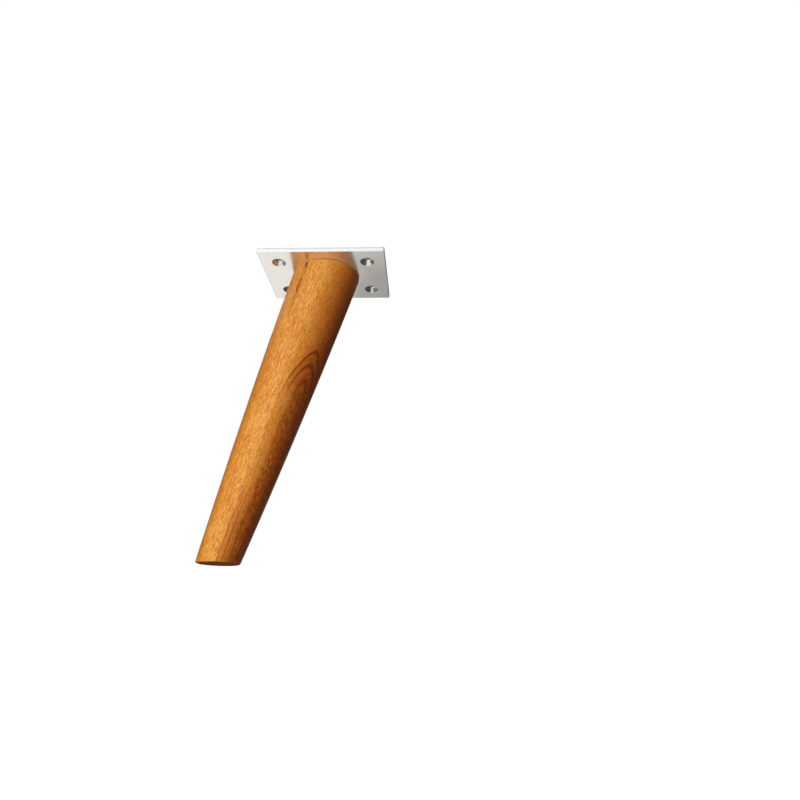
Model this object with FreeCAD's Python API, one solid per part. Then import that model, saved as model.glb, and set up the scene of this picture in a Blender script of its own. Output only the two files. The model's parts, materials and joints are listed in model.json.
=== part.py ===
import FreeCAD, Part
import math
import os

from FreeCAD import Vector

# Splayed wooden furniture leg on a steel mounting plate.
#
# One turned hardwood leg is sawn off at a slant at both ends, so that it leans out while its foot
# stands flat. Wood screws driven down through the plate hold it under the plate. Four more
# countersunk holes near the plate's corners take the screws that fix the leg to the furniture.
#
# The origin is the centre of the plate's upper face, which goes against the furniture. +Z points up
# into the furniture, +X lies along the plate's long side, and the leg leans out towards -X.
# Lengths are in millimetres and angles in degrees.

# Mounting plate
plate_length = 86.0
plate_width = 60.0
plate_thickness = 3.2
plate_corner_radius = 0.6
plate_edge_break = 0.2

# Corner holes for the screws that go up into the furniture, countersunk from below
corner_hole_inset = 12.5
corner_hole_diameter = 5.0
corner_sink_diameter = 9.6

# Included angle of every countersink and screw head
countersink_angle = 90.0

# Turned leg, whose diameters are measured square to its leaning axis
leg_height = 200.0
leg_splay = 15.0
leg_top_diameter = 45.0
leg_foot_diameter = 25.5
leg_swell = 1.0
leg_shoulder_radius = 1.6
leg_foot_edge_break = 1.2

# Spare length left on the lathe beyond each slanted cut, and the straight tapers, end to end, that
# follow the swelling side to within a seventh of a millimetre
blank_spare = 4.0
leg_spans = 3

# Wood screws that hold the leg under the plate
screw_count = 3
screw_circle_diameter = 20.0
screw_length = 30.0
screw_head_diameter = 8.0
screw_head_rim = 0.2
screw_head_sunk = 0.1
screw_neck_diameter = 2.8
screw_thread_diameter = 4.0
screw_thread_start = 4.5
screw_tip_length = 5.0
screw_recess_length = 4.6
screw_recess_slot = 1.0
screw_recess_depth = 1.9

# Play round the screw in the plate's hole and in the wood, on the radius
plate_hole_clearance = 0.2
wood_bore_clearance = 0.05
wood_bore_spare_depth = 1.0
drill_point_angle = 118.0

UP = Vector(0, 0, 1)
SINK_TAN = math.tan(math.radians(countersink_angle / 2))
DRILL_TAN = math.tan(math.radians(drill_point_angle / 2))
LEAN_TAN = math.tan(math.radians(leg_splay))
LEG_AXIS_LENGTH = leg_height / math.cos(math.radians(leg_splay))
same_level = 1e-4


def turned(points):
    """Solid of revolution about Z from (radius, height) points that start and end on the axis."""
    outline = [Vector(radius, 0, height) for radius, height in points]
    face = Part.Face(Part.makePolygon(outline + outline[:1]))
    return face.revolve(Vector(0, 0, 0), UP, 360)


def edges_at(solid, level):
    """The edges of a solid that lie in the horizontal plane at this height."""
    return [edge for edge in solid.Edges if abs(edge.CenterOfMass.z - level) < same_level]


def countersunk_hole(hole_radius, sink_radius, mouth_z, far_z):
    """Cutter for a through hole whose wide mouth is at mouth_z, down or up to far_z."""
    way = 1 if far_z > mouth_z else -1
    cone_depth = (sink_radius - hole_radius) / SINK_TAN
    overrun = plate_thickness
    return turned([
        (0, mouth_z - way * overrun),
        (sink_radius + overrun * SINK_TAN, mouth_z - way * overrun),
        (hole_radius, mouth_z + way * cone_depth),
        (hole_radius, far_z + way * overrun),
        (0, far_z + way * overrun),
    ])


def screw_places():
    """Screw axes, evenly spaced on a circle, the first one on the side the leg leans to."""
    step = 360 / screw_count
    angles = [math.radians(180 + step * index) for index in range(screw_count)]
    radius = screw_circle_diameter / 2
    return [Vector(radius * math.cos(angle), radius * math.sin(angle), 0) for angle in angles]


def corner_places():
    """Corner hole axes, set in from the plate's edges."""
    half_x = plate_length / 2 - corner_hole_inset
    half_y = plate_width / 2 - corner_hole_inset
    return [Vector(x, y, 0) for x in (-half_x, half_x) for y in (-half_y, half_y)]


def make_plate():
    """Flat plate with rounded corners, broken edges and both sets of countersunk holes."""
    plate = Part.makeBox(plate_length, plate_width, plate_thickness,
                         Vector(-plate_length / 2, -plate_width / 2, -plate_thickness))
    corners = edges_at(plate, -plate_thickness / 2)
    plate = plate.makeFillet(plate_corner_radius, corners)
    rims = edges_at(plate, 0) + edges_at(plate, -plate_thickness)
    plate = plate.makeChamfer(plate_edge_break, rims)

    corner_hole = countersunk_hole(corner_hole_diameter / 2, corner_sink_diameter / 2, -plate_thickness, 0)
    head_mouth = screw_head_diameter / 2 + (screw_head_sunk + screw_head_rim) * SINK_TAN
    screw_hole = countersunk_hole(screw_thread_diameter / 2 + plate_hole_clearance, head_mouth,
                                  0, -plate_thickness)
    cutters = [corner_hole.translated(place) for place in corner_places()]
    cutters += [screw_hole.translated(place) for place in screw_places()]
    return plate.cut(Part.makeCompound(cutters))


def leg_radius(distance):
    """Radius of the turned leg this far down its axis: a straight taper plus the swell."""
    share = distance / LEG_AXIS_LENGTH
    taper = leg_top_diameter / 2 + (leg_foot_diameter - leg_top_diameter) / 2 * share
    return taper + 4 * leg_swell * share * (1 - share)


def make_leg_blank():
    """The leg as it leaves the lathe, upright and with spare length for the slanted cuts."""
    spare = leg_top_diameter / 2 * LEAN_TAN + blank_spare
    span = (LEG_AXIS_LENGTH + 2 * spare) / leg_spans
    stations = [index * span - spare for index in range(leg_spans + 1)]
    side = [(leg_radius(distance), -distance) for distance in stations]
    return turned([(0, -stations[0])] + side + [(0, -stations[-1])])


def make_leg():
    """The turned blank leant over, sawn level at plate and foot, eased and bored for its screws."""
    top_z = -plate_thickness
    foot_z = top_z - leg_height
    leg = make_leg_blank()
    leg.rotate(Vector(0, 0, 0), Vector(0, 1, 0), leg_splay)
    leg.translate(Vector(0, 0, top_z))
    reach = leg_height + leg_top_diameter
    between_cuts = Part.makeBox(2 * reach, 2 * reach, leg_height, Vector(-reach, -reach, foot_z))
    leg = leg.common(between_cuts)
    leg = leg.makeFillet(leg_shoulder_radius, edges_at(leg, top_z))
    leg = leg.makeChamfer(leg_foot_edge_break, edges_at(leg, foot_z))

    bore_radius = screw_thread_diameter / 2 + wood_bore_clearance
    bore_end = -screw_head_sunk - screw_length - wood_bore_spare_depth
    bore = turned([
        (0, 0),
        (bore_radius, 0),
        (bore_radius, bore_end + bore_radius / DRILL_TAN),
        (0, bore_end),
    ])
    return leg.cut(Part.makeCompound([bore.translated(place) for place in screw_places()]))


def make_screw_body():
    """Wood screw without its recess: head, plain neck, thread drawn at its full width, and point."""
    head_z = -screw_head_sunk
    cone_z = head_z - screw_head_rim
    head_radius = screw_head_diameter / 2
    neck_radius = screw_neck_diameter / 2
    thread_radius = screw_thread_diameter / 2
    thread_z = head_z - screw_thread_start
    tip_z = head_z - screw_length
    return turned([
        (0, head_z),
        (head_radius, head_z),
        (head_radius, cone_z),
        (neck_radius, cone_z - (head_radius - neck_radius) / SINK_TAN),
        (neck_radius, thread_z),
        (thread_radius, thread_z - (thread_radius - neck_radius)),
        (thread_radius, tip_z + screw_tip_length),
        (0, tip_z),
    ])


def make_recess():
    """Cross-shaped driver recess, narrowing to its floor."""
    half_mouth = screw_recess_length / 2
    half_floor = half_mouth / 2
    floor_z = -screw_head_sunk - screw_recess_depth
    slot_outline = Part.makePolygon([
        Vector(-half_mouth, -screw_recess_slot / 2, 0),
        Vector(half_mouth, -screw_recess_slot / 2, 0),
        Vector(half_floor, -screw_recess_slot / 2, floor_z),
        Vector(-half_floor, -screw_recess_slot / 2, floor_z),
        Vector(-half_mouth, -screw_recess_slot / 2, 0),
    ])
    slot = Part.Face(slot_outline).extrude(Vector(0, screw_recess_slot, 0))
    crossing = slot.copy()
    crossing.rotate(Vector(0, 0, 0), UP, 90)
    return slot.fuse(crossing)


def make_screw():
    """One complete wood screw, upright on the origin."""
    return make_screw_body().cut(make_recess())


def make_parts():
    """Every piece of the leg under the name it is exported with."""
    parts = {"wooden_leg": make_leg(), "mounting_plate": make_plate()}
    screw = make_screw()
    for index, place in enumerate(screw_places()):
        parts[f"leg_screw_{index + 1}"] = screw.translated(place)
    return parts


os.makedirs("parts", exist_ok=True)
for name, shape in make_parts().items():
    shape.exportStep(f"parts/{name}.step")
    box = shape.optimalBoundingBox(False)
    print(f"{name}: {shape.Volume / 1000:.2f} cm3, z {box.ZMin:.2f} to {box.ZMax:.2f}, "
          f"{len(shape.Solids)} solid, valid {shape.isValid()}")
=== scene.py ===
# %% [markdown]
# # A turned wooden furniture leg under its steel plate
#
# The real thing is a round hardwood leg, turned to a taper on a lathe and sawn off at a slant at
# both ends, so that it leans out while its foot stands flat. Three screws hold it under a steel
# plate, whose four corner holes take the screws that go up into the furniture. This script dresses
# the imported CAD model: it keeps the plate, makes the wood and the screws again in finer mesh, and
# gives each of them a finish that is worked out by shader nodes.

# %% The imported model
import json
import math
from collections import namedtuple

import bmesh
import bpy
from mathutils import Matrix, Vector

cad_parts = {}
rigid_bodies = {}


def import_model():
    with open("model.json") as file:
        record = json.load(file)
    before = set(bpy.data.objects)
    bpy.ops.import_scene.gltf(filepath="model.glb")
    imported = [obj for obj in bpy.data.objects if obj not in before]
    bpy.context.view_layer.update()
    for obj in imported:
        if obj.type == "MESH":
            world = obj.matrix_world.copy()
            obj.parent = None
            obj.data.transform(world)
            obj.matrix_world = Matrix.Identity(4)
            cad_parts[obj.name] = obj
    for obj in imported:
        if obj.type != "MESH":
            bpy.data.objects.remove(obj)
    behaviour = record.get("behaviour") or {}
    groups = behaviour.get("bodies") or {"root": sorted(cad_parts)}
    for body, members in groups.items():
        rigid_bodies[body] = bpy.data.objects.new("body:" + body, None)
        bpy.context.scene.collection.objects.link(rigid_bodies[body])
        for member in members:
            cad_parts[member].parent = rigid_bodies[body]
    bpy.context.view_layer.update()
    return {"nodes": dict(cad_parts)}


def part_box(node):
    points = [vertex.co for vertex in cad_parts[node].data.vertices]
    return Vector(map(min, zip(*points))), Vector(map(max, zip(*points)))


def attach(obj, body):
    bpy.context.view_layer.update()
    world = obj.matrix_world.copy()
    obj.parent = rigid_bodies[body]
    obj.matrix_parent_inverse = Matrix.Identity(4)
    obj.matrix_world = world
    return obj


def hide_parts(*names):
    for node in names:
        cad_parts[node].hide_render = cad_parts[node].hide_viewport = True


for leftover in list(bpy.data.objects):
    bpy.data.objects.remove(leftover)

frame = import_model()
print("CAD nodes:", ", ".join(sorted(frame["nodes"])))

# %% [markdown]
# ## Sizes
#
# Blender works in metres here, in the same frame as the CAD: the origin is the middle of the plate's
# upper face, X runs along the plate and Z points up. The leg leans out towards -X. Sizes are written
# in millimetres, as a workshop drawing gives them. Only the plate's outer size is read from its node.

# %% The leg's own sizes
MM = 0.001

plate_low, plate_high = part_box("mounting_plate")
PLATE_THICKNESS = plate_high.z - plate_low.z

LEG_HEIGHT = 200 * MM
LEG_SPLAY = math.radians(15)
TOP_RADIUS = 22.5 * MM
FOOT_RADIUS = 12.75 * MM
SWELL = 1.0 * MM
SHOULDER_ROUND = 1.6 * MM
FOOT_ROUND = 1.2 * MM

AXIS_LENGTH = LEG_HEIGHT / math.cos(LEG_SPLAY)
TOP_CENTRE = Vector((0, 0, -PLATE_THICKNESS))
FOOT_Z = -PLATE_THICKNESS - LEG_HEIGHT
DOWN_AXIS = Vector((-math.sin(LEG_SPLAY), 0, -math.cos(LEG_SPLAY)))
ACROSS = Vector((math.cos(LEG_SPLAY), 0, -math.sin(LEG_SPLAY)))
SIDEWAYS = Vector((0, 1, 0))

print(f"leg axis {AXIS_LENGTH / MM:.1f} mm long, plate {PLATE_THICKNESS / MM:.1f} mm thick")

# %% [markdown]
# ## The turned leg
#
# A lathe makes a form whose radius depends only on how far along the axis the tool is. Here that is
# a straight taper plus a faint swell in the middle, which keeps the leg from looking pinched. The
# two slanted saw cuts are then level planes, and each sharp edge between a cut and the side is
# rounded with sandpaper. One could cut a cone with two Boolean planes and bevel the edges, but then
# the facets run uneven. Instead each column of points is followed from the rim of the top cut down
# the side to the rim of the foot, so that the rows of faces run cleanly round the leg.

# %% The side of the leg
def side_radius(distance):
    """Radius of the turned form this far down its axis."""
    share = distance / AXIS_LENGTH
    return TOP_RADIUS + (FOOT_RADIUS - TOP_RADIUS) * share + 4 * SWELL * share * (1 - share)


def side_slope(distance):
    """How fast that radius grows with the distance."""
    share = distance / AXIS_LENGTH
    return (FOOT_RADIUS - TOP_RADIUS + 4 * SWELL * (1 - 2 * share)) / AXIS_LENGTH


def outward(angle):
    """Direction square to the axis, at this angle round it."""
    return ACROSS * math.cos(angle) + SIDEWAYS * math.sin(angle)


def side_point(distance, angle):
    return TOP_CENTRE + DOWN_AXIS * distance + outward(angle) * side_radius(distance)


def side_normal(distance, angle):
    return (outward(angle) - DOWN_AXIS * side_slope(distance)).normalized()


print(f"radius halfway down: {side_radius(AXIS_LENGTH / 2) / MM:.2f} mm")

# %% [markdown]
# A rounded edge is the path of a small ball that rolls in the corner and touches the cut and the
# side at once. The ball's centre is one radius inside both. For each column the centre is found by
# halving an interval, and the edge is then an arc from the cut's direction to the side's own normal.

# %% Rounding the edges at the cuts
HALVINGS = 40


def ball_distance(angle, ball, level):
    """Distance down the axis where a ball this far inside the side has its centre at this level."""
    near, far = -AXIS_LENGTH / 4, AXIS_LENGTH * 5 / 4
    for _ in range(HALVINGS):
        middle = (near + far) / 2
        centre = side_point(middle, angle) - side_normal(middle, angle) * ball
        if centre.z > level:
            near = middle
        else:
            far = middle
    return middle


def rounded_edge(angle, ball, cut_z, facing, steps):
    """Points from the rim of a cut to the side, and how far down the axis the side starts."""
    distance = ball_distance(angle, ball, cut_z - facing * ball)
    normal = side_normal(distance, angle)
    centre = side_point(distance, angle) - normal * ball
    cut_normal = Vector((0, 0, facing))
    arc = [centre + cut_normal.slerp(normal, step / steps) * ball for step in range(steps + 1)]
    return arc, distance


shoulder_start = ball_distance(0, SHOULDER_ROUND, TOP_CENTRE.z)
print(f"shoulder starts {shoulder_start / MM:.2f} mm down the axis")

# %% [markdown]
# The top cut carries three bores for the screws. Their mouths are holes in a flat face, so the face
# is filled between the rim and the three circles, and each bore is walled down to the cone that the
# drill's point leaves.

# %% Building the leg
AROUND = 160
SIDE_ROWS = 72
SHOULDER_STEPS = 8
FOOT_STEPS = 4

SCREW_COUNT = 3
SCREW_CIRCLE = 10 * MM
BORE_RADIUS = 2.05 * MM
BORE_END_Z = -31.1 * MM
BORE_AROUND = 32
DRILL_HALF_ANGLE = math.radians(59)


def screw_places():
    """Screw axes, evenly spaced on a circle, the first on the side the leg leans to."""
    angles = [math.pi + index * math.tau / SCREW_COUNT for index in range(SCREW_COUNT)]
    return [Vector((math.cos(angle), math.sin(angle), 0)) * SCREW_CIRCLE for angle in angles]


def leg_column(angle):
    """Every point of one column, from the rim of the top cut to the rim of the foot."""
    shoulder, start = rounded_edge(angle, SHOULDER_ROUND, TOP_CENTRE.z, 1, SHOULDER_STEPS)
    foot, end = rounded_edge(angle, FOOT_ROUND, FOOT_Z, -1, FOOT_STEPS)
    rows = [start + (end - start) * row / SIDE_ROWS for row in range(1, SIDE_ROWS)]
    return shoulder + [side_point(distance, angle) for distance in rows] + foot[::-1]


def ring(mesh, centre, radius, height, count):
    """A level circle of new vertices."""
    corners = []
    for index in range(count):
        turn = index * math.tau / count
        x = centre.x + radius * math.cos(turn)
        y = centre.y + radius * math.sin(turn)
        corners.append(mesh.verts.new((x, y, height)))
    return corners


def bridge(mesh, upper, lower, smooth=True):
    """Quads between two rings with the same number of vertices."""
    for index, corner in enumerate(upper):
        following = (index + 1) % len(upper)
        face = mesh.faces.new((corner, upper[following], lower[following], lower[index]))
        face.smooth = smooth


def loop_edges(mesh, loop):
    """The edges along a closed loop of vertices, made where they are missing."""
    pairs = zip(loop, loop[1:] + loop[:1])
    return [mesh.edges.get(pair) or mesh.edges.new(pair) for pair in pairs]


def add_bore(mesh, place):
    """Wall and pointed end of one bore; gives back its mouth."""
    mouth = ring(mesh, place, BORE_RADIUS, TOP_CENTRE.z, BORE_AROUND)
    point_z = BORE_END_Z + BORE_RADIUS / math.tan(DRILL_HALF_ANGLE)
    shoulder = ring(mesh, place, BORE_RADIUS, point_z, BORE_AROUND)
    bridge(mesh, mouth, shoulder)
    tip = mesh.verts.new((place.x, place.y, BORE_END_Z))
    for index, corner in enumerate(shoulder):
        mesh.faces.new((corner, shoulder[(index + 1) % BORE_AROUND], tip)).smooth = True
    return mouth


def finish_piece(name, mesh, material):
    """Turns the working mesh into an object that rides on the model's one body."""
    bmesh.ops.recalc_face_normals(mesh, faces=mesh.faces)
    data = bpy.data.meshes.new(name)
    mesh.to_mesh(data)
    mesh.free()
    data.materials.append(material)
    piece = bpy.data.objects.new(name, data)
    bpy.context.scene.collection.objects.link(piece)
    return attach(piece, "root")


def build_leg(material):
    mesh = bmesh.new()
    columns = []
    for index in range(AROUND):
        points = leg_column(index * math.tau / AROUND)
        columns.append([mesh.verts.new(point) for point in points])
    rows = [list(row) for row in zip(*columns)]
    for upper, lower in zip(rows, rows[1:]):
        bridge(mesh, upper, lower)
    mesh.faces.new(rows[-1])
    rims = [rows[0]] + [add_bore(mesh, place) for place in screw_places()]
    edges = [edge for rim in rims for edge in loop_edges(mesh, rim)]
    bmesh.ops.triangle_fill(mesh, use_beauty=True, use_dissolve=False, edges=edges)
    return finish_piece("turned_leg", mesh, material)


# %% [markdown]
# ## Writing shader maths as Python
#
# A finish is a graph of nodes, and a graph drawn by hand in the editor soon gets hard to read. Here
# a small class stands for one output of a node. Adding or multiplying two of them adds the Math node
# that does it, so a mask such as `1 - rings * 0.5` reads as what it means. Every other node is made
# by one method, which sets the node's own settings first and then fills its sockets.

# %% The Wire class
class Wire:
    """One output of a shader node, or just the tree when it has no socket."""

    def __init__(self, tree, socket=None):
        self.tree = tree
        self.socket = socket

    def node(self, kind, values=None, output=0, **settings):
        """Adds a node: its settings first, then the values or wires of its sockets."""
        made = self.tree.nodes.new("ShaderNode" + kind)
        for name, value in settings.items():
            setattr(made, name, value)
        for key, value in (values or {}).items():
            if isinstance(value, Wire):
                self.tree.links.new(value.socket, made.inputs[key])
            else:
                made.inputs[key].default_value = value
        return Wire(self.tree, made.outputs[output] if made.outputs else None)

    def math(self, operation, *others):
        """A Math node on this wire and any others."""
        return self.node("Math", dict(enumerate((self, *others))), operation=operation)

    def __add__(self, other):
        return self.math("ADD", other)

    def __sub__(self, other):
        return self.math("SUBTRACT", other)

    def __rsub__(self, other):
        return self.node("Math", {0: other, 1: self}, operation="SUBTRACT")

    def __mul__(self, other):
        return self.math("MULTIPLY", other)

    __radd__ = __add__
    __rmul__ = __mul__

    def dot(self, direction):
        """How far this vector reaches in a direction."""
        return self.node("VectorMath", {0: self, 1: direction}, output="Value", operation="DOT_PRODUCT")

    def mix(self, first, second):
        """Blends two colours, with this wire as the share of the second."""
        return self.node("Mix", {"Factor": self, 6: first, 7: second}, output=2, data_type="RGBA")

    def ease(self, low, high, bottom=0.0, top=1.0):
        """Goes smoothly from bottom to top as this wire goes from low to high."""
        values = {"Value": self, "From Min": low, "From Max": high, "To Min": bottom, "To Max": top}
        return self.node("MapRange", values, interpolation_type="SMOOTHSTEP")

    def spread(self, x, y, z):
        """A vector from three numbers."""
        return self.node("CombineXYZ", {"X": x, "Y": y, "Z": z})

    def noise(self, place, scale, detail=2.0, roughness=0.5):
        values = {"Vector": place, "Scale": scale, "Detail": detail, "Roughness": roughness}
        return self.node("TexNoise", values, output="Fac")


def new_material(name):
    """An empty material, and a wire to start its nodes from."""
    material = bpy.data.materials.new(name)
    material.use_nodes = True
    material.node_tree.nodes.clear()
    return material, Wire(material.node_tree)


def opaque(colour):
    """The colour as a socket takes it, with its fourth number."""
    return (*colour, 1)


def two_shaders(start, share, first, second):
    """A mix of two shaders, with this share of the second."""
    return start.node("MixShader", {0: share, 1: first, 2: second})


def end_with(start, shader):
    """Ends a material with this shader."""
    start.node("OutputMaterial", {"Surface": shader})


print("shader helper ready")

# %% [markdown]
# ## The wood
#
# Grain isn't a pattern on the surface. It is the tree's yearly layers, cut open. Each layer is a
# long sheath round the tree's heart, so the finish first measures how far every point is from that
# heart line, and takes its colour from that distance. Where the heart line drifts away from the leg,
# the turned side cuts the layers at a slant, and they show as nested arches, as a flat-sawn board
# does. Lower down the layers run with the leg and show as streaks.

# %% Where a point lies in the tree
FLAT_SAWN_SIDE = math.radians(-37)
HEART_DEPTH = 45.0
HEART_LEAN = 0.05
HEART_KINK = 5.1
KINK_START, KINK_END = 52.0, 95.0
RIDGE_STEEPNESS = 0.2
HEARTWOOD_FROM = 69.35

Place = namedtuple("Place", "along across sideways above_foot beside from_heart")


def grain_place(start):
    """Distances in mm: down the leg, across it both ways, above its foot, and from the heart."""
    point = start.node("TexCoord", output="Object")
    inside = start.node("VectorMath", {0: point, 1: TOP_CENTRE}, operation="SUBTRACT")
    along = inside.dot(DOWN_AXIS / MM)
    across = inside.dot(ACROSS / MM)
    sideways = inside.dot(SIDEWAYS / MM)
    above_foot = point.dot((0, 0, 1 / MM)) - FOOT_Z / MM

    wander = start.noise(start.spread(across * 0.08, sideways * 0.08, along * 0.03), 1.0, 1.0)
    drift = along * HEART_LEAN + along.ease(KINK_START, KINK_END, 0.0, HEART_KINK)
    towards = across * math.cos(FLAT_SAWN_SIDE) + sideways * math.sin(FLAT_SAWN_SIDE)
    beside = sideways * math.cos(FLAT_SAWN_SIDE) - across * math.sin(FLAT_SAWN_SIDE)
    reach = towards + drift + HEART_DEPTH
    ridge = (beside * beside + 4).math("SQRT") - 2
    layer = (reach * reach + beside * beside).math("SQRT") - ridge * RIDGE_STEEPNESS
    from_heart = layer + (wander - 0.5) * 0.9
    return Place(along, across, sideways, above_foot, beside, from_heart)


print("heartwood starts", HEARTWOOD_FROM, "mm from the tree's heart")

# %% [markdown]
# The colour is laid on in coats, as a painter would build it up. The ground is a mottle of honey and
# amber, made by noises stretched along the leg, since wood's fibres run that way. Painted shade goes on
# with it: the side that looks away from the light is painted redder and, near its edge, dark chestnut,
# and the edge on the lit side is painted a deeper amber, which tones down the sheen there.

# %% The ground colour and painted shade
HONEY = (0.82, 0.385, 0.075)
AMBER = (0.60, 0.185, 0.009)
RUSSET = (0.52, 0.108, 0.005)
CHESTNUT = (0.18, 0.027, 0.003)


def stretched_noise(start, place, across, along, detail, roughness=0.5):
    """Noise with this many grains a millimetre across the leg and along it."""
    spot = start.spread(place.across * across, place.sideways * across, place.along * along)
    return start.noise(spot, 1.0, detail, roughness)


def ground_colour_and_painted_shade(start, place, fibres, specks):
    clouds = stretched_noise(start, place, 0.10, 0.05, 3.0)
    tone = (fibres - 0.5) * 1.2 + (clouds - 0.5) * 0.8 + (specks - 0.5) * 2.4
    colour = tone.ease(-0.45, 0.45).mix(opaque(AMBER), opaque(HONEY))
    about_radius = 23 - place.along * 0.047
    round_side = place.across.math("DIVIDE", about_radius) + (specks - 0.5) * 1.2
    # Painted shade: the side that looks away from the light turns redder, and dark chestnut near its
    # edge.
    colour = round_side.ease(0.15, 0.95, 0.0, 0.85).mix(colour, opaque(RUSSET))
    colour = round_side.ease(0.65, 1.15, 0.0, 0.6).mix(colour, opaque(CHESTNUT))
    # Painted shade: the edge on the lit side turns a deeper amber, which tones down the sheen there.
    return (round_side * -1).ease(0.30, 0.85, 0.0, 0.8).mix(colour, opaque(AMBER))


print("ground colour from amber", AMBER, "to honey", HONEY)

# %% [markdown]
# Next come the layers of the tree. Inside the heartwood the leg has dark patches, and at its border a
# set of coarse and fine lines, one for each layer that the turned side cuts. The lines draw the
# nested arch. They fade below it and come back as streaks near the foot.

# %% Heartwood and yearly lines
LINE_SPACING = 0.93
FINE_SPACING = 0.21
ARCH_FADES = (80, 104)
STREAKS_RETURN = (162, 182)


def heartwood_patches(start, place, specks, colour):
    broken = place.from_heart + place.beside * 0.12 + (specks - 0.5) * 3.0
    heartwood = broken.ease(HEARTWOOD_FROM + 1.0, HEARTWOOD_FROM + 4.0)
    mottle = stretched_noise(start, place, 1.0, 0.35, 4.0, 0.75)
    return (heartwood * mottle.ease(0.42, 0.62, 0.0, 0.85)).mix(colour, opaque(CHESTNUT))


def good_and_bad_years(start, place):
    """Noise that only changes from one layer to the next."""
    values = {"W": place.from_heart * 1.3, "Scale": 1.0, "Detail": 1.0}
    return start.node("TexNoise", values, output="Fac", noise_dimensions="1D")


def yearly_lines(place, seasons, specks, colour):
    layers_in = place.from_heart - HEARTWOOD_FROM
    coarse = 1 - layers_in.math("PINGPONG", LINE_SPACING).ease(0.08, 0.42)
    fine = 1 - (layers_in + seasons * 0.5).math("PINGPONG", FINE_SPACING).ease(0.02, 0.14)
    lines = coarse.math("MAXIMUM", fine * 0.5)
    below_arch = place.along.ease(*ARCH_FADES, 0.0, 0.8)
    near_foot = place.along.ease(*STREAKS_RETURN, 0.0, 0.4)
    in_arch = layers_in.ease(-0.4, -0.1) * (1 - below_arch + near_foot)
    colour = (in_arch * 0.4).mix(colour, opaque(RUSSET))
    return (lines * in_arch * specks.ease(0.3, 0.6, 0.6, 1.0)).mix(colour, opaque(CHESTNUT))


print("lines", LINE_SPACING, "and", FINE_SPACING, "mm apart")

# %% [markdown]
# Pores are the cut ends of the tree's vessels: short dark dashes along the fibres, everywhere but
# small, and in one long row below the plate. The rim just under the plate is painted paler, a painted
# highlight against the shade in the crease where the leg meets the plate.

# %% Pores and the painted highlight at the rim
PORE_BROWN = (0.17, 0.034, 0.001)
# Painted highlight: two pale colours for the rim just under the plate.
RIM_HIGHLIGHT_SOFT = (0.94, 0.50, 0.15)
RIM_HIGHLIGHT_BRIGHT = (1.0, 0.52, 0.06)
PORE_ROW = math.radians(-115)
PORE_ROW_FADES = (20, 50)


def pore_row(start, place):
    """1 on the dashes of the long row of pores."""
    aside = place.sideways * math.cos(PORE_ROW) - place.across * math.sin(PORE_ROW)
    near_row = 1 - aside.math("ABSOLUTE").ease(0.4, 2.2)
    this_side = 1 - place.across.ease(-4, 0)
    above_fade = 1 - place.along.ease(*PORE_ROW_FADES)
    dashes = stretched_noise(start, place, 1.5, 0.26, 1.0).ease(0.42, 0.54)
    return near_row * this_side * above_fade * dashes


def painted_rim_highlight(place, colour):
    below_plate = LEG_HEIGHT / MM - place.above_foot
    # Painted highlight: the wood's last two millimetres under the plate are painted paler, the last one
    # palest.
    colour = (1 - below_plate.ease(0.1, 2.2, 0.3, 1.0)).mix(colour, opaque(RIM_HIGHLIGHT_SOFT))
    return (1 - below_plate.ease(0.1, 1.0)).mix(colour, opaque(RIM_HIGHLIGHT_BRIGHT))


print(f"pore row fades {PORE_ROW_FADES[0]} to {PORE_ROW_FADES[1]} mm down the leg")

# %% [markdown]
# A thin lacquer gives the side a soft sheen. The foot's sawn face has none: it is bare end grain, where
# the layers show as rings. It is painted dark brown, partly the darker tone of end grain and partly
# painted shade.

# %% The finished wood
# Painted dark brown for the foot's face: the darker tone of end grain, with painted shade on top.
SAWN_DARK = (0.12, 0.038, 0.009)
SAWN_LIGHT = (0.34, 0.125, 0.035)


def wood_material():
    material, start = new_material("lacquered_hardwood")
    place = grain_place(start)
    fibres = stretched_noise(start, place, 1.0, 0.10, 4.0, 0.65)
    specks = stretched_noise(start, place, 1.1, 0.30, 3.0, 0.75)
    pores = stretched_noise(start, place, 2.0, 0.40, 2.0).ease(0.55, 0.68)
    seasons = good_and_bad_years(start, place)

    colour = ground_colour_and_painted_shade(start, place, fibres, specks)
    colour = heartwood_patches(start, place, specks, colour)
    colour = yearly_lines(place, seasons, specks, colour)
    colour = (pores * 0.5).mix(colour, opaque(PORE_BROWN))
    colour = pore_row(start, place).mix(colour, opaque(PORE_BROWN))
    colour = painted_rim_highlight(place, colour)

    relief = fibres * 0.3 - pores
    bump = start.node("Bump", {"Strength": 0.5, "Distance": 0.15 * MM, "Height": relief})
    side = start.node("BsdfPrincipled", {
        "Base Color": colour,
        "Roughness": pores * 0.2 + 0.42,
        "Specular IOR Level": 0.22,
        "Normal": bump,
        "Coat Weight": 0.10,
        "Coat Roughness": 0.40,
    })
    rings = (seasons - 0.5) * 2.0 + (specks - 0.5) * 1.5
    sawn = start.node("BsdfPrincipled", {
        "Base Color": rings.ease(-0.4, 0.4).mix(opaque(SAWN_DARK), opaque(SAWN_LIGHT)),
        "Roughness": specks * 0.2 + 0.75,
        "Specular IOR Level": 0.0,
        "Normal": bump,
    })
    end_grain = 1 - place.above_foot.ease(0.05, 0.6)
    end_with(start, two_shaders(start, end_grain, side, sawn))
    return material


leg = build_leg(wood_material())
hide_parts("wooden_leg")
print(f"{leg.name}: {len(leg.data.polygons)} faces")

# %% [markdown]
# ## The steel plate
#
# The CAD plate already has the right shape, with its countersunk holes and broken edges, so it stays
# and only gets a finish. It is bright steel, drawn over a fine belt that leaves hair-thin lines along
# its length. Metal has no colour of its own apart from what it mirrors, so its looks come from the
# roughness, which blurs the mirror, and from what stands around it. The sides are painted a greyer
# steel, painted shade that keeps them from mirroring the white studio at full strength, and a painted
# dark line runs along their upper edge. The countersinks are painted darker too, painted shade in the
# recesses.

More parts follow.
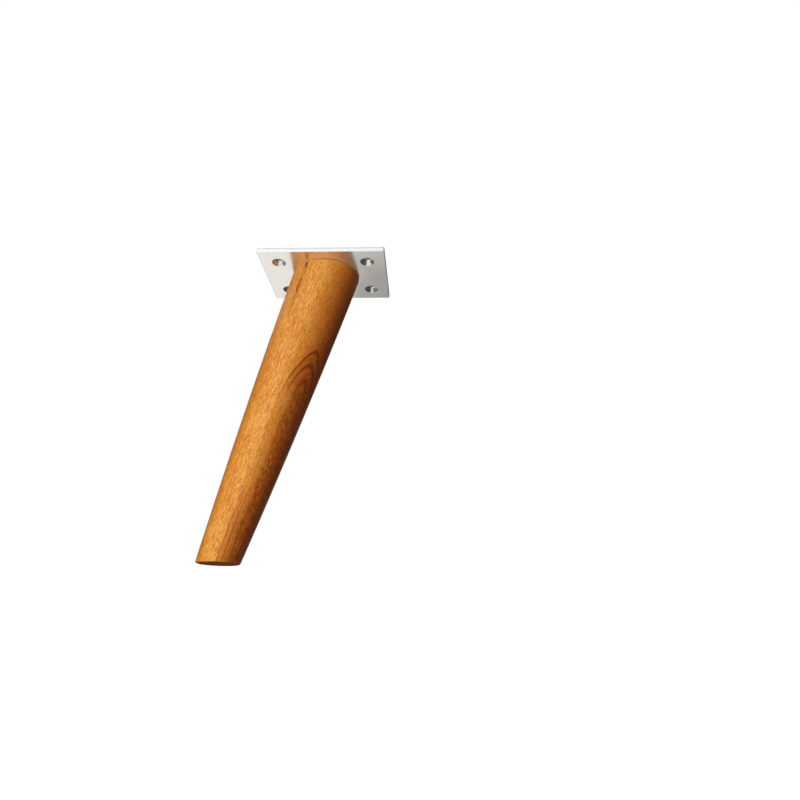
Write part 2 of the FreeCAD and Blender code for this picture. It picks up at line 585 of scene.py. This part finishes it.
# %% Brushed steel
CORNER_HOLE = (30.5 * MM, 17.5 * MM, 0)
SINK_RADIUS = 4.8 * MM
UNDERSIDE = -PLATE_THICKNESS / MM

DULL_STEEL = (0.90, 0.875, 0.83)
CLEAR_STEEL = (0.97, 0.945, 0.90)
# Painted shade: the countersinks, the sides and a thin line along the sides' upper edge get darker
# steel colours than the face.
COUNTERSINK_SHADE = (0.78, 0.775, 0.765)
SIDE_SHADE_GREY = (0.87, 0.87, 0.86)
EDGE_SHADE_LINE = (0.58, 0.59, 0.61)

METAL_SHARE = 0.88
MIRROR_ROUGHNESS = 0.16
HAZE_ROUGHNESS = 0.45
HAZE_SHARE = 0.25


def steel_material():
    material, start = new_material("brushed_steel")
    point = start.node("TexCoord", output="Object")
    along_plate = (60, 3000, 3000)
    stretch = start.node("VectorMath", {0: point, 1: along_plate}, operation="MULTIPLY")
    hairlines = start.noise(stretch, 1.0, 3.0, 0.7)
    smears = start.noise(point, 60.0, 2.0)

    mirrored = start.node("VectorMath", {0: point}, operation="ABSOLUTE")
    from_hole = start.node("VectorMath", {0: mirrored, 1: CORNER_HOLE}, operation="SUBTRACT")
    flat = start.node("VectorMath", {0: from_hole, 1: (1, 1, 0)}, operation="MULTIPLY")
    hole_distance = start.node("VectorMath", {0: flat}, output="Value", operation="LENGTH")
    height = point.dot((0, 0, 1 / MM))
    below_top = 1 - height.ease(-0.1, -0.02)
    in_hole = (1 - hole_distance.ease(SINK_RADIUS - 0.2 * MM, SINK_RADIUS + 0.1 * MM)) * below_top
    on_side = height.ease(UNDERSIDE + 0.05, UNDERSIDE + 0.2) * below_top
    on_upper_edge = on_side * height.ease(-1.1, -0.6)

    shade = (hairlines - 0.5) * 0.3 + (smears - 0.5) * 0.3 + 0.5
    colour = shade.mix(opaque(DULL_STEEL), opaque(CLEAR_STEEL))
    # Painted shade: the sides greyer, their upper edge darker still, the countersinks darker than the
    # face.
    colour = on_side.mix(colour, opaque(SIDE_SHADE_GREY))
    colour = on_upper_edge.mix(colour, opaque(EDGE_SHADE_LINE))
    colour = in_hole.mix(colour, opaque(COUNTERSINK_SHADE))
    bump = start.node("Bump", {"Strength": 0.08, "Distance": 0.02 * MM, "Height": hairlines})
    unevenness = (hairlines - 0.5) * 0.12 + (smears - 0.5) * 0.08
    glosses = []
    for roughness in (MIRROR_ROUGHNESS, HAZE_ROUGHNESS):
        glosses.append(start.node("BsdfPrincipled", {
            "Base Color": colour,
            "Metallic": METAL_SHARE,
            "Roughness": unevenness + roughness,
            "Normal": bump,
        }))
    end_with(start, two_shaders(start, HAZE_SHARE, *glosses))
    return material


plate_slot = frame["nodes"]["mounting_plate"].material_slots[0]
plate_slot.material = steel_material()
print("plate finished in", plate_slot.material.name)

# %% [markdown]
# ## The wood screws
#
# Three countersunk screws hold the leg. Only their heads show, from above, but each is made whole:
# head, plain neck and a thread that winds down to the point. A thread is a shallow ridge on a rod,
# so the rod is a tube of many rows whose radius rises and falls with the height and the angle. The
# cross in the head is cut with a Boolean, because its four walls meet the flat head at sharp edges.

# %% Sizes of a screw
HEAD_Z = -0.1 * MM
HEAD_RIM = 0.2 * MM
HEAD_RADIUS = 4.0 * MM
NECK_RADIUS = 1.4 * MM
THREAD_RADIUS = 2.0 * MM
THREAD_START = 4.5 * MM
THREAD_PITCH = 1.8 * MM
THREAD_STEEPNESS = 3.2
THREAD_RUN_IN = 1.2 * MM
TIP_LENGTH = 5.0 * MM
SCREW_LENGTH = 30.0 * MM
SCREW_AROUND = 40
ROWS_PER_TURN = 10
RECESS_REACH = 2.3 * MM
RECESS_HALF_WIDTH = 0.5 * MM
RECESS_DEPTH = 1.9 * MM


def thread_rise(depth, angle):
    """Height of the thread above the core, from 0 in the valley to 1 on the crest."""
    turns = (depth / THREAD_PITCH + angle / math.tau) % 1
    crest = max(0.0, 1 - abs(turns - 0.5) * THREAD_STEEPNESS)
    run_in = min(1.0, max(0.0, (depth - THREAD_START) / THREAD_RUN_IN))
    return crest * run_in


def shank_radius(depth, angle):
    """Radius of the shank this far below the top of the head."""
    left = SCREW_LENGTH - depth
    taper = min(1.0, left / TIP_LENGTH)
    ridge = (THREAD_RADIUS - NECK_RADIUS) * thread_rise(depth, angle)
    return (NECK_RADIUS + ridge) * taper


print("turns of thread:", round((SCREW_LENGTH - THREAD_START) / THREAD_PITCH, 1))

# %% Building a screw
def cross_outline(reach):
    """The twelve corners of the cross-shaped recess, this far out from the middle."""
    half = RECESS_HALF_WIDTH
    arm = [(reach, -half), (reach, half), (half, half)]
    corners = []
    for quarter in range(4):
        turn = Matrix.Rotation(quarter * math.pi / 2, 2)
        corners += [turn @ Vector(corner) for corner in arm]
    return corners


def recess_cutter():
    """A tapering cross that stands a little out of the head."""
    mesh = bmesh.new()
    levels = [
        (RECESS_REACH, HEAD_Z + HEAD_RIM),
        (RECESS_REACH, HEAD_Z),
        (RECESS_REACH / 2, HEAD_Z - RECESS_DEPTH),
    ]
    loops = []
    for reach, height in levels:
        corners = cross_outline(reach)
        loops.append([mesh.verts.new((corner.x, corner.y, height)) for corner in corners])
    for upper, lower in zip(loops, loops[1:]):
        bridge(mesh, upper, lower, smooth=False)
    mesh.faces.new(loops[0])
    mesh.faces.new(loops[-1])
    bmesh.ops.recalc_face_normals(mesh, faces=mesh.faces)
    data = bpy.data.meshes.new("recess_cutter")
    mesh.to_mesh(data)
    mesh.free()
    cutter = bpy.data.objects.new("recess_cutter", data)
    bpy.context.scene.collection.objects.link(cutter)
    return cutter


def build_screw(name, material):
    """One screw, upright on the origin, still without its recess."""
    mesh = bmesh.new()
    origin = Vector((0, 0, 0))
    rings = [ring(mesh, origin, HEAD_RADIUS, HEAD_Z, SCREW_AROUND),
             ring(mesh, origin, HEAD_RADIUS, HEAD_Z - HEAD_RIM, SCREW_AROUND)]
    bridge(mesh, rings[0], rings[1], smooth=False)
    mesh.faces.new(rings[0])
    cone_depth = HEAD_RIM + HEAD_RADIUS - NECK_RADIUS
    row_height = THREAD_PITCH / ROWS_PER_TURN
    row_count = int((SCREW_LENGTH - cone_depth) / row_height)
    for row in range(row_count):
        depth = cone_depth + row * row_height
        corners = []
        for index in range(SCREW_AROUND):
            turn = index * math.tau / SCREW_AROUND
            radius = shank_radius(depth, turn)
            x, y = radius * math.cos(turn), radius * math.sin(turn)
            corners.append(mesh.verts.new((x, y, HEAD_Z - depth)))
        rings.append(corners)
    for upper, lower in zip(rings[1:], rings[2:]):
        bridge(mesh, upper, lower)
    tip = mesh.verts.new((0, 0, HEAD_Z - SCREW_LENGTH))
    for index, corner in enumerate(rings[-1]):
        mesh.faces.new((corner, rings[-1][(index + 1) % SCREW_AROUND], tip))
    return finish_piece(name, mesh, material)


def cut_recess(piece, cutter):
    """Takes the cutter's shape out of the piece for good."""
    cut = piece.modifiers.new("recess", "BOOLEAN")
    cut.object = cutter
    cut.operation = "DIFFERENCE"
    cut.solver = "EXACT"
    graph = bpy.context.evaluated_depsgraph_get()
    piece.data = bpy.data.meshes.new_from_object(piece.evaluated_get(graph))
    piece.modifiers.clear()


# %% Bright zinc, and the three screws in place
ZINC_DARK = (0.52, 0.53, 0.55)
ZINC_LIGHT = (0.74, 0.75, 0.77)


def zinc_material():
    material, start = new_material("bright_zinc")
    point = start.node("TexCoord", output="Object")
    patches = start.noise(point, 900.0, 3.0)
    bump = start.node("Bump", {"Strength": 0.1, "Distance": 0.02 * MM, "Height": patches})
    end_with(start, start.node("BsdfPrincipled", {
        "Base Color": patches.mix(opaque(ZINC_DARK), opaque(ZINC_LIGHT)),
        "Metallic": 1.0,
        "Roughness": patches * 0.2 + 0.22,
        "Normal": bump,
    }))
    return material


zinc = zinc_material()
cutter = recess_cutter()
for index, place in enumerate(screw_places()):
    screw = build_screw(f"wood_screw_{index + 1}", zinc)
    cut_recess(screw, cutter)
    screw.data.transform(Matrix.Translation(place))
    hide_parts(f"leg_screw_{index + 1}")
bpy.data.objects.remove(cutter)
print(f"{screw.name}: {len(screw.data.polygons)} faces")

# %% [markdown]
# ## The studio
#
# The leg hangs free in a white studio, above a plain floor. Straight white behind an object would
# need far too much light on it, so the world and the floor only look white to the camera and in
# mirrors, and light the object at an ordinary level. A Light Path node tells the kinds of ray apart.

# %% Floor and world
FLOOR_Z = -0.5
FLOOR_HALF = 4.0
AMBIENT = 0.17
WHITE = (1.0, 1.0, 1.0)
FLOOR_GREY = (0.8, 0.8, 0.8)
SHADOW_GREY = (0.35, 0.35, 0.35)


def seen_directly(start):
    """1 for rays that show the backdrop itself: from the camera, or by way of metal or glass."""
    camera = start.node("LightPath", output="Is Camera Ray")
    glossy = start.node("LightPath", output="Is Glossy Ray")
    through = start.node("LightPath", output="Is Transmission Ray")
    total = camera + glossy + through
    return total.math("MINIMUM", 1.0)


def flat_piece(name, corners, material):
    """A single flat face for the stage."""
    data = bpy.data.meshes.new(name)
    data.from_pydata(corners, [], [(0, 1, 2, 3)])
    data.materials.append(material)
    piece = bpy.data.objects.new(name, data)
    bpy.context.scene.collection.objects.link(piece)
    return piece


def floor_material():
    """White in the picture, a little greyer far off in the metal, and plain diffuse otherwise."""
    material, start = new_material("studio_floor")
    point = start.node("TexCoord", output="Object")
    far_off = start.node("VectorMath", {0: point}, output="Value", operation="LENGTH")
    plain = start.node("BsdfDiffuse", {"Color": opaque(FLOOR_GREY)})
    shaded = start.node("BsdfDiffuse", {"Color": opaque(SHADOW_GREY)})
    glow = start.node("Emission", {"Color": far_off.ease(0.5, 0.8, 0.82, 1.0), "Strength": 1.0})
    in_picture = start.node("AddShader", {0: shaded, 1: glow})
    in_metal = start.node("Emission", {"Color": far_off.ease(0.7, 1.2, 1.0, 0.8), "Strength": 1.0})
    from_metal = start.node("LightPath", output="Is Glossy Ray")
    shown = two_shaders(start, from_metal, in_picture, in_metal)
    end_with(start, two_shaders(start, seen_directly(start), plain, shown))
    return material


def light_world():
    world = bpy.data.worlds.new("studio_world")
    world.use_nodes = True
    world.node_tree.nodes.clear()
    start = Wire(world.node_tree)
    soft = start.node("Background", {"Color": opaque(WHITE), "Strength": AMBIENT})
    white = start.node("Background", {"Color": opaque(WHITE), "Strength": 1.0})
    shown = two_shaders(start, seen_directly(start), soft, white)
    start.node("OutputWorld", {"Surface": shown})
    bpy.context.scene.world = world


def level_corners(half_x, half_y, height):
    """Corners of a level rectangle round the origin, in order, so that it faces up."""
    ways = [(-1, -1), (1, -1), (1, 1), (-1, 1)]
    return [(way_x * half_x, way_y * half_y, height) for way_x, way_y in ways]


flat_piece("floor", level_corners(FLOOR_HALF, FLOOR_HALF, FLOOR_Z), floor_material())
light_world()
print("floor at", FLOOR_Z, "m")

# %% [markdown]
# Bright metal shows whatever stands around it. A photographer sets cards beside it, out of the
# picture, to give it lighter and darker sides. The pale card behind the leg is what the plate's left
# half mirrors and the grey card what its right half mirrors. The dark flags to the right, the left
# and above darken the walls of the countersunk holes, and a bright card beside the main lamp lays a
# soft sheen on the lacquer. The cards show only in shiny surfaces and cast no shadow. The lamps light
# the leg, but the metal doesn't mirror them.

# %% Cards for the metal to mirror
GREY = (0.265, 0.265, 0.262)
PALE = (0.96, 0.95, 0.93)
DARK = (0.037, 0.032, 0.029)
DIM = (0.10, 0.09, 0.08)


def card_material(name, colour, strength):
    material, start = new_material(name)
    end_with(start, start.node("Emission", {"Color": opaque(colour), "Strength": strength}))
    return material


def card(name, from_corner, to_corner, low, high, colour, strength=1.0):
    """An upright card above the line between two (x, y) corners, which only shows in shiny surfaces."""
    lower = [(*from_corner, low), (*to_corner, low)]
    upper = [(*to_corner, high), (*from_corner, high)]
    piece = flat_piece(name, lower + upper, card_material(name, colour, strength))
    piece.visible_camera = False
    piece.visible_diffuse = False
    piece.visible_shadow = False
    return piece


card("grey_card", (-0.08, 0.66), (0.25, 0.60), -0.5, 0.05, GREY)
card("pale_card", (-0.45, 0.70), (-0.08, 0.66), -0.5, 0.05, PALE)
card("upper_flag", (-0.08, 0.66), (0.25, 0.60), 0.05, 0.7, DARK)
card("far_right_flag", (0.25, 0.60), (1.2, 0.40), -0.5, 0.6, DARK)
card("right_flag", (0.09, -0.8), (0.22, 0.35), -0.49, 0.3, DARK)
card("left_flag", (-0.42, 0.75), (-0.75, -0.2), -0.5, 0.4, DIM)
card("sheen_card", (-0.60, -0.8), (0.05, -0.8), 0.03, 0.32, WHITE, 4.0)
card_names = [piece.name for piece in bpy.data.objects if piece.name.endswith(("card", "flag"))]
print("cards:", ", ".join(sorted(card_names)))

# %% [markdown]
# In use the plate lies against the furniture, so its corner holes look into the dark. A small dark
# card just above the plate does the same here. It only shows from below, through the holes: its
# upper side is clear, so that the plate's own upper face still shows from above.

# %% The card behind the holes
BACKING_GREY = (0.4, 0.4, 0.4)
BACKING_GAP = 0.3 * MM
BACKING_INSET = 3 * MM


def backing_material():
    material, start = new_material("backing_card")
    dark = start.node("BsdfDiffuse", {"Color": opaque(BACKING_GREY)})
    clear = start.node("BsdfTransparent")
    from_above = start.node("NewGeometry", output="Backfacing")
    end_with(start, two_shaders(start, from_above, dark, clear))
    return material


half_x, half_y = plate_high.x - BACKING_INSET, plate_high.y - BACKING_INSET
facing_up = level_corners(half_x, half_y, plate_high.z + BACKING_GAP)
backing = flat_piece("backing_card", facing_up[::-1], backing_material())
backing.visible_shadow = False
backing.visible_glossy = False
backing.visible_diffuse = False
print(f"backing card {2 * half_x / MM:.0f} x {2 * half_y / MM:.0f} mm")

# %% Lamps
def soft_lamp(name, place, aim, width, height, watts):
    """A large rectangular lamp that points at a spot."""
    lamp = bpy.data.lights.new(name, "AREA")
    lamp.shape = "RECTANGLE"
    lamp.size = width
    lamp.size_y = height
    lamp.energy = watts
    holder = bpy.data.objects.new(name, lamp)
    bpy.context.scene.collection.objects.link(holder)
    holder.location = place
    holder.rotation_euler = (Vector(aim) - Vector(place)).to_track_quat("-Z", "Y").to_euler()
    holder.visible_glossy = False
    return holder


MIDDLE = (-0.015, 0.0, -0.10)
soft_lamp("key_lamp", (-0.25, -0.80, -0.16), MIDDLE, 0.35, 0.7, 6.2)
soft_lamp("back_lamp", (-0.05, 0.95, 0.25), MIDDLE, 0.5, 0.5, 1.6)
print("lamps:", ", ".join(lamp.name for lamp in bpy.data.lights))

# %% [markdown]
# ## The camera
#
# The photograph was taken from below the plate, a little to its right, with the camera tipped up.
# Place, tilt and focal length come from fitting the plate's corners, its holes and the leg's outline
# to their places in the picture. The picture is square, 800 pixels on a side.

# %% The photograph's view
CAMERA_PLACE = Vector((71.9, -366.1, -239.4)) * MM
CAMERA_HEADING = math.radians(2.80)
CAMERA_PITCH = math.radians(21.13)
CAMERA_ROLL = math.radians(1.10)
FOCAL_PIXELS = 601.5
PICTURE_PIXELS = 800
SENSOR_WIDTH = 36.0

lens = bpy.data.cameras.new("camera")
lens.sensor_width = SENSOR_WIDTH
lens.lens = SENSOR_WIDTH * FOCAL_PIXELS / PICTURE_PIXELS
lens.clip_start = 0.01
camera = bpy.data.objects.new("camera", lens)
bpy.context.scene.collection.objects.link(camera)
camera.matrix_world = (Matrix.Translation(CAMERA_PLACE)
                       @ Matrix.Rotation(CAMERA_HEADING, 4, "Z")
                       @ Matrix.Rotation(math.pi / 2 + CAMERA_PITCH, 4, "X")
                       @ Matrix.Rotation(CAMERA_ROLL, 4, "Z"))
bpy.context.scene.camera = camera
bpy.context.scene.view_settings.view_transform = "Standard"
print(f"lens {lens.lens:.2f} mm")
